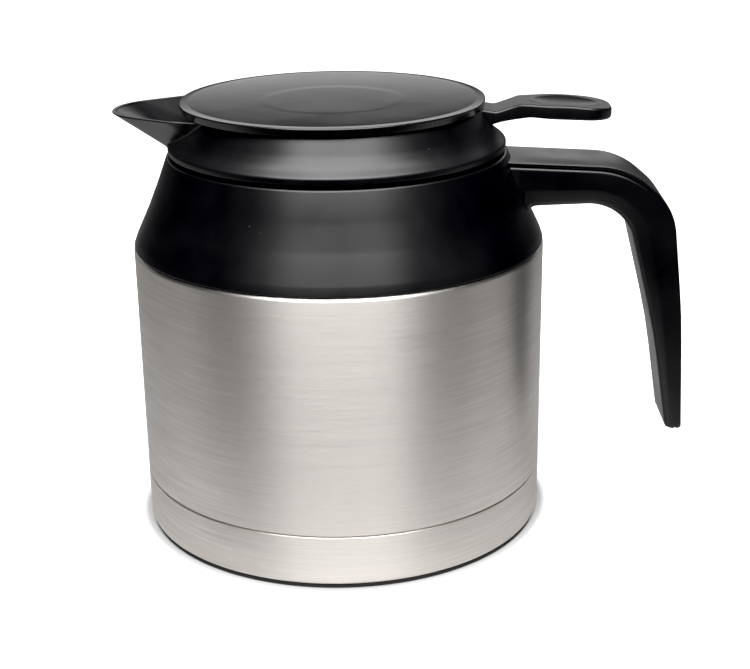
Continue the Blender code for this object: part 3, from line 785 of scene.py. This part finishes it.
def build_seals():
    for name, body, node, inner_r, round_off in (
        ("lid_gasket_ring", "lid_lifting_seal", "lid_gasket", 45.2 * MM, 0.8 * MM),
        ("skirt_seal_ring", "lid_thread_seal", "skirt_seal", 43.0 * MM, 0.6 * MM),
        ("stopper_seal_ring", "pour_lever", "stopper_seal", 20.8 * MM, 0.5 * MM),
    ):
        seal_low, seal_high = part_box(node)
        seal = turned(name, [
            (inner_r, seal_high.z), (seal_high.x, seal_high.z), (seal_high.x, seal_low.z, round_off),
            (inner_r, seal_low.z),
        ], steps=128)
        finish_piece(seal, SILICONE, body, node)


# ---------------------------------------------------------------- disc, lever and stopper


def build_disc():
    """A round cover with a shallow dish on top and a faint step in it."""
    radius = (DISC_HIGH.x - DISC_LOW.x) / 2
    centre_x = (DISC_HIGH.x + DISC_LOW.x) / 2
    top, low = DISC_HIGH.z, DISC_LOW.z
    depth, rim_r = 1.0 * MM, 50.6 * MM
    count = 36
    step, step_r, step_wide = 0.05 * MM, 24.2 * MM, 2.2 * MM
    dish = []
    for k in range(count + 1):
        r = rim_r * k / count
        above_step = min(1.0, max(0.0, (r - step_r) / step_wide))
        dish.append((r, top - 0.1 * MM - depth * (1 - (k / count) ** 2.6) - step * (1 - above_step)))
    edge = rounded([
        dish[-1], (51.9 * MM, top, 4 * MM), (radius - 0.05 * MM, top - 0.2 * MM, 0.5 * MM),
        (radius - 0.6 * MM, low, 0.4 * MM), (0, low),
    ], arc=math.radians(6))
    mesh = turned_mesh("disc_cover", dish + edge[1:], closed=False)
    mesh.transform(Matrix.Translation((centre_x, 0, 0)))
    shaded(mesh, math.radians(60))
    disc = add_object("disc_cover", mesh)
    bores = [rod(f"bore_{x}", SCREW_BORE_R, 2.2 * MM, "Z", (x * MM, 0, low), 32) for x in (17, 35)]
    cut(disc, bores)
    finish_piece(disc, DISC_BLACK, "pour_lever", "lid_disc")


def lever_outline():
    """One half of the lever seen from above."""
    back, tip, pad = LEVER_LOW.x, LEVER_HIGH.x, 12.1 * MM
    return rounded([
        (back, 0), (back, ARM_HALF, 7 * MM), (63 * MM, ARM_HALF + 0.3 * MM, 10 * MM), (76 * MM, pad, 14 * MM),
        (tip, pad, 9.5 * MM), (tip, 0),
    ], arc=math.radians(4))


def thumb_dish(x, y):
    """Depth of the hollow in the thumb pad."""
    u, v = (x - 82 * MM) / (12.7 * MM), y / (9.2 * MM)
    rr = u * u + v * v
    return 1.75 * MM * (1 - rr) ** 0.75 if rr < 1 else 0.0


def eased(count, low, high):
    """Values that lie closer together towards both ends."""
    return [low + (high - low) * (1 - math.cos(math.pi * k / (count - 1))) / 2 for k in range(count)]


def lever_mesh():
    """Top and under sides over one grid of the lever's outline, with rounded edges, joined by a wall."""
    side_top = line_height(in_mm(
        (-12, 154.0), (50, 154.0, 20), (57, 152.8, 4), (65.5, 155.6, 6), (82, 155.3, 80), (98.7, 153.6),
        (102, 153.2)))
    side_low = line_height(in_mm(
        (-12, 151), (46.5, 151, 2), (49.3, 147.6, 1.5), (53.4, 147.5, 1.5), (58.5, 149, 8), (69, 150.9, 8),
        (84, 150.2, 60), (97.5, 149.6, 2), (98.7, 150.6), (102, 152)))
    outline = lever_outline()
    xs, ys = [p[0] for p in outline], [p[1] for p in outline]
    back, tip = xs[0], xs[-1]
    flat = np.array(outline)

    def half_width(x):
        return float(np.interp(x, xs, ys))

    def to_edge(x, y):
        point = np.array((x, abs(y)))
        a, b = flat[:-1], flat[1:]
        ab = b - a
        t = np.clip(((point - a) * ab).sum(axis=1) / np.maximum((ab ** 2).sum(axis=1), 1e-18), 0, 1)
        return float(np.sqrt(((a + ab * t[:, None] - point) ** 2).sum(axis=1)).min())

    r_edge = 0.9 * MM

    def lift(x, y):
        d = min(to_edge(x, y), r_edge)
        return r_edge - math.sqrt(max(r_edge ** 2 - (r_edge - d) ** 2, 0.0))

    stations = eased(24, back, 45 * MM)[:-1] + list(np.linspace(45 * MM, 66 * MM, 44))[:-1] + [
        66 * MM + (tip - 66 * MM) * math.sin(math.pi / 2 * k / 70) for k in range(71)
    ]
    across = [math.sin(math.pi / 2 * (2 * k / 44 - 1)) for k in range(45)]
    tops, lows = [], []
    for x in stations:
        w = max(half_width(x), 0.4 * MM)
        for v in across:
            y = w * v
            round_off = lift(x, y)
            tops.append((x, y, side_top(x) - round_off - thumb_dish(x, y)))
            lows.append((x, y, side_low(x) + round_off))
    rows, columns = len(stations), len(across)
    count = rows * columns
    faces = grid_faces(rows, columns)
    under = [tuple(count + k for k in face[::-1]) for face in grid_faces(rows, columns)]
    rim = (
        [i * columns for i in range(rows)]
        + [(rows - 1) * columns + j for j in range(1, columns)]
        + [i * columns + columns - 1 for i in range(rows - 2, -1, -1)]
        + [j for j in range(columns - 2, 0, -1)]
    )
    sides = [(a, b, count + b, count + a) for a, b in zip(rim, rim[1:] + rim[:1])]
    return mesh_of("lever_pad", tops + lows, faces + under + sides)


def build_lever():
    lever = add_object("lever_pad", lever_mesh())
    middle = 152 * MM
    cut(lever, [
        rod("knuckle_bore", PIN_BORE_R, 24 * MM, "Y", HINGE),
        rod("spigot_hole", 3.3 * MM, 8 * MM, "Z", (0, 0, middle)),
        rod("front_hole", SCREW_BORE_R, 8 * MM, "Z", (17 * MM, 0, middle), 32),
        rod("rear_hole", SCREW_BORE_R, 8 * MM, "Z", (35 * MM, 0, middle), 32),
    ])
    finish_piece(lever, LID_BLACK, "pour_lever", "thumb_lever")


def line_height(corners):
    """Height at any x of an outline whose x always rises."""
    points = rounded(corners, arc=math.radians(4))
    xs = [p[0] for p in points]
    zs = [p[1] for p in points]
    return lambda x: float(np.interp(x, xs, zs))


def build_stopper():
    low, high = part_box("stopper")
    shoulder, plate = 150.7 * MM, low.z + 2.5 * MM
    spigot_r, stem_r = 3 * MM, 6 * MM
    stopper = turned("stopper_moulding", [
        (0, high.z), (spigot_r, high.z, 0.4 * MM), (spigot_r, shoulder), (stem_r, shoulder, 0.4 * MM),
        (stem_r, plate, 1.5 * MM), (high.x, plate, 1.0 * MM), (high.x, low.z, 0.5 * MM), (0, low.z),
    ], closed=False, steps=128)
    finish_piece(stopper, INNER_BLACK, "pour_lever", "stopper")


def build_screws():
    """The disc's two cross-headed screws, heads down."""
    shank_r, head_r, head = 1.3 * MM, 2.6 * MM, 2 * MM
    long, narrow = 1.5 * MM, 0.25 * MM
    for label in ("front", "rear"):
        low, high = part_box(f"lever_screw_{label}")
        x = (low.x + high.x) / 2
        screw = turned(f"screw_{label}", [
            (0, high.z), (shank_r, high.z, 0.3 * MM), (shank_r, low.z + head),
            (head_r, low.z + head, 0.2 * MM), (head_r, low.z, 0.6 * MM), (0, low.z),
        ], closed=False, steps=48, offset_x=x)
        cut(screw, [
            box(f"slot_{u}", (x - u, -v, low.z - MM), (x + u, v, low.z + 0.8 * MM))
            for u, v in ((long, narrow), (narrow, long))
        ])
        finish_piece(screw, FASTENER, "pour_lever", f"lever_screw_{label}")


def build_pin():
    pin = rod("hinge_rod", 1.2 * MM, PIN_HIGH.y - PIN_LOW.y, "Y", HINGE)
    finish_piece(pin, FASTENER, "lid", "hinge_pin")


# ---------------------------------------------------------------- stage, light and camera


def build_floor():
    """A white table that glows for camera rays, with a thin painted contact shadow round the foot. In
    reflections and in the light that it gives, it is grey near the carafe and dark in front: painted shade, as
    the room beyond a small table is."""
    half = 6
    corners = [(-half, -half, 0), (half, -half, 0), (half, half, 0), (-half, half, 0)]
    floor = add_object("floor", mesh_of("floor", corners, [(0, 1, 2, 3)]))
    n = Nodes("floor", (0.86, 0.86, 0.86), 0.9)
    n.shader.inputs["Specular IOR Level"].default_value = 0.0
    parts = n.tree.nodes.new("ShaderNodeSeparateXYZ")
    n.link(n.place, parts, "Vector")
    # Painted shade for reflections and the floor's bounce light: grey near the carafe, falling to black in
    # front, standing in for the unlit room beyond a small table.
    near = n.remap(parts.outputs["Y"], -0.18, -0.07, 0.0, 1.0)
    away = n.tree.nodes.new("ShaderNodeVectorMath")
    away.operation = "LENGTH"
    n.link(n.place, away, "Vector")
    tone = n.maths("MULTIPLY", near, n.remap(away.outputs["Value"], 0.085, 0.24, 0.55, 0.40))
    path = n.tree.nodes.new("ShaderNodeLightPath")
    seen = path.outputs["Is Camera Ray"]
    # Painted contact shadow: for camera rays the floor's colour and glow fall to almost black in a thin ring
    # round the foot.
    painted_contact_shadow = n.remap(away.outputs["Value"], 0.0762, 0.0790, 0.02, 1.0)
    eye_tone = n.maths("MULTIPLY", seen, painted_contact_shadow)
    n.put("Base Color", n.colours(n.maths("MAXIMUM", tone, eye_tone), (0.0, 0.0, 0.0), (0.8, 0.8, 0.8)))
    n.shader.inputs["Emission Color"].default_value = (1, 1, 1, 1)
    glow = n.remap(away.outputs["Value"], 0.08, 0.3, 0.6, 1.0)
    n.put("Emission Strength", n.maths("MULTIPLY", eye_tone, glow))
    floor.data.materials.append(n.material)


def softbox(name, azimuth, elevation, distance, size, radiance):
    """A rectangular light aimed at the collar. Azimuth 0 is on the camera's side (-Y), positive towards +X."""
    a, e = math.radians(azimuth), math.radians(elevation)
    way = Vector((math.sin(a) * math.cos(e), -math.cos(a) * math.cos(e), math.sin(e)))
    light = bpy.data.lights.new(name, "AREA")
    light.shape = "RECTANGLE"
    light.size, light.size_y = size
    light.energy = radiance * math.pi * size[0] * size[1]
    obj = bpy.data.objects.new(name, light)
    obj.location = Vector((0, 0, 0.12)) + way * distance
    obj.rotation_mode = "QUATERNION"
    obj.rotation_quaternion = way.to_track_quat("Z", "Y")
    bpy.context.scene.collection.objects.link(obj)


def build_world():
    """A studio that is white to the eye. In reflections only a low band behind the carafe is white."""
    world = bpy.data.worlds.new("studio")
    world.use_nodes = True
    bpy.context.scene.world = world
    tree = world.node_tree
    background = tree.nodes["Background"]
    coordinates = tree.nodes.new("ShaderNodeTexCoord")
    parts = tree.nodes.new("ShaderNodeSeparateXYZ")
    tree.links.new(coordinates.outputs["Generated"], parts.inputs[0])

    def ramp(source, low, high):
        node = tree.nodes.new("ShaderNodeMapRange")
        node.interpolation_type = "SMOOTHSTEP"
        node.inputs["From Min"].default_value = low
        node.inputs["From Max"].default_value = high
        tree.links.new(source, node.inputs["Value"])
        return node.outputs["Result"]

    def times(first, second):
        node = tree.nodes.new("ShaderNodeMath")
        node.operation = "MULTIPLY"
        for k, value in enumerate((first, second)):
            if isinstance(value, float):
                node.inputs[k].default_value = value
            else:
                tree.links.new(value, node.inputs[k])
        return node.outputs[0]

    behind = ramp(parts.outputs["Y"], 0.55, 0.88)
    above = ramp(parts.outputs["Z"], 0.165, 0.30)
    below = ramp(parts.outputs["Z"], 0.62, 0.42)
    strength = tree.nodes.new("ShaderNodeMath")
    strength.operation = "ADD"
    tree.links.new(times(times(behind, times(above, below)), 1.6), strength.inputs[0])
    strength.inputs[1].default_value = 0.004
    seen = tree.nodes.new("ShaderNodeLightPath")
    pick = tree.nodes.new("ShaderNodeMix")
    tree.links.new(seen.outputs["Is Camera Ray"], pick.inputs["Factor"])
    tree.links.new(strength.outputs[0], pick.inputs["A"])
    pick.inputs["B"].default_value = 1.0
    tree.links.new(pick.outputs["Result"], background.inputs["Strength"])
    background.inputs["Color"].default_value = (1, 1, 1, 1)


def build_camera():
    """A 72 mm lens above the front of the carafe, looking down at it by about 20 degrees."""
    data = bpy.data.cameras.new("camera")
    data.lens = 72
    data.sensor_width = 36
    camera = bpy.data.objects.new("camera", data)
    turn = math.radians(2.5)
    heading, pitch, roll = 0.023851, 0.345197, -0.014369
    ahead = Vector((math.sin(heading) * math.cos(pitch), math.cos(heading) * math.cos(pitch), -math.sin(pitch)))
    right = ahead.cross(Vector((0, 0, 1))).normalized()
    up = right.cross(ahead)
    right_rolled = right * math.cos(roll) + up * math.sin(roll)
    up_rolled = up * math.cos(roll) - right * math.sin(roll)
    axes = Matrix((right_rolled, up_rolled, -ahead)).transposed().to_4x4()
    place = Matrix.Translation((0, -0.53449, 0.25870))
    camera.matrix_world = Matrix.Rotation(turn, 4, "Z") @ place @ axes
    bpy.context.scene.collection.objects.link(camera)
    bpy.context.scene.camera = camera


def build_grade():
    """The plain view transform, with the black point set just above zero."""
    settings = bpy.context.scene.view_settings
    settings.view_transform = "Standard"
    settings.use_curve_mapping = True
    settings.curve_mapping.black_level = (0.004, 0.004, 0.0035)
    settings.curve_mapping.update()


build_grade()
build_camera()
build_base()
build_shell()
build_flask()
paint_hidden_nodes()
build_collar()
build_retaining_ring()
build_handle()
build_ring()
build_insert()
build_seals()
build_disc()
build_lever()
build_stopper()
build_screws()
build_pin()
build_floor()
build_world()
softbox("overhead", azimuth=2, elevation=64, distance=0.8, size=(0.95, 0.94), radiance=8.7)
